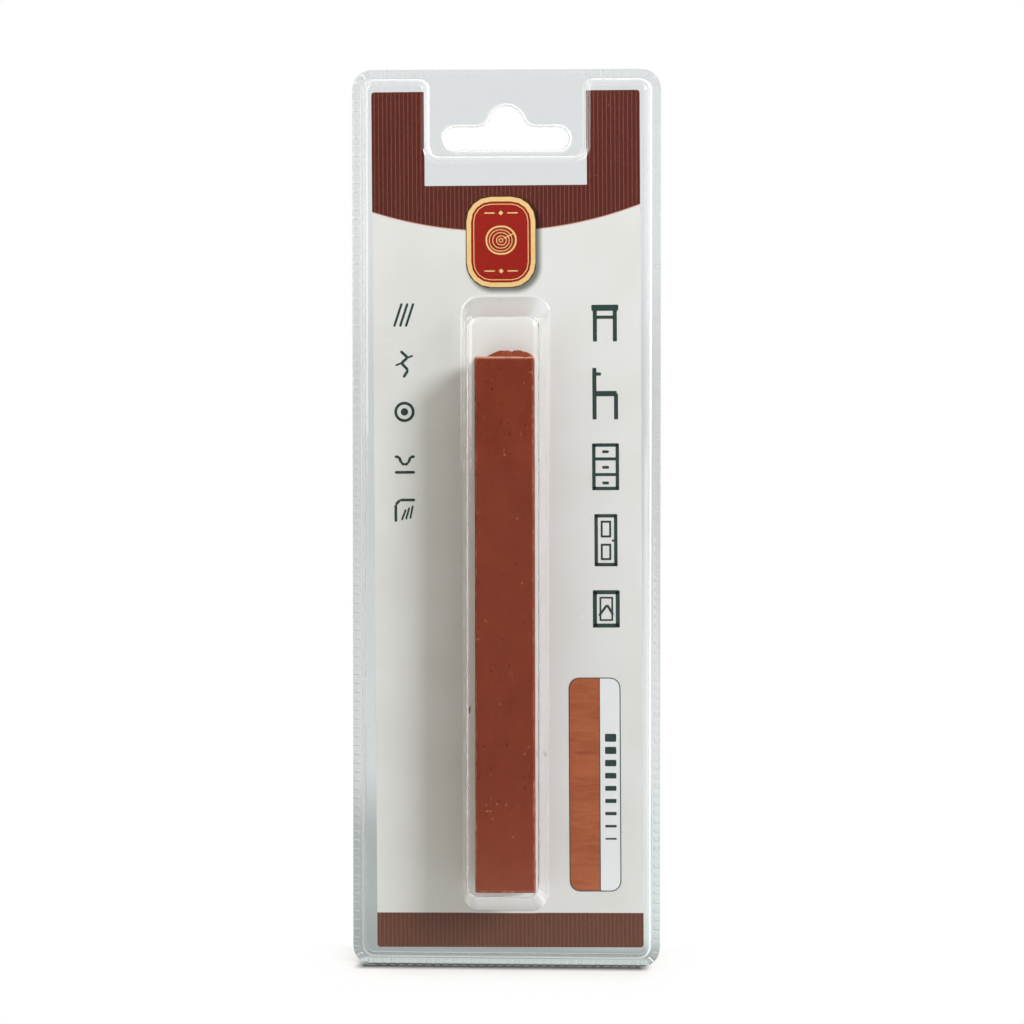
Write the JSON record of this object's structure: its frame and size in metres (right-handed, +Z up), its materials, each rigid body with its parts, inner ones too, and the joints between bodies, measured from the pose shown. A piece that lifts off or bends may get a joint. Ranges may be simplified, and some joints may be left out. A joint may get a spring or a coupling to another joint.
{
  "type": "furniture repair wax stick in blister pack",
  "caption": "Square stick of red-brown furniture repair wax, loose in the long pocket of a clear welded blister pack with a brown and white card and a euro hang hole.",
  "frame": {"origin": "centre of the pack's footprint, on the surface that its lower edge stands on", "axes": "+Z up along the pack towards the hang hole, +X to the right as seen from the front, +Y out of the back; the pocket faces -Y"},
  "size_m": [0.079, 0.0166, 0.23],
  "materials": {
    "clear_film": "clear glossy formed film",
    "card": "satin printed board",
    "wax": "dull red-brown wax"
  },
  "bodies": {
    "pack": {"front_shell": "clear_film", "back_shell": "clear_film", "wax_crumbs": "wax"},
    "card": {"printed_card": "card"},
    "stick": {"wax_stick": "wax"}
  },
  "joints": [
    {"name": "stick_slide", "type": "slide", "parent": "pack", "child": "stick", "axis": [0, 0, 1], "range_m": [0, 0.0085]},
    {"name": "card_slide", "type": "slide", "parent": "pack", "child": "card", "axis": [0, 0, 1], "range_m": [-0.0017, 0.0012]}
  ]
}
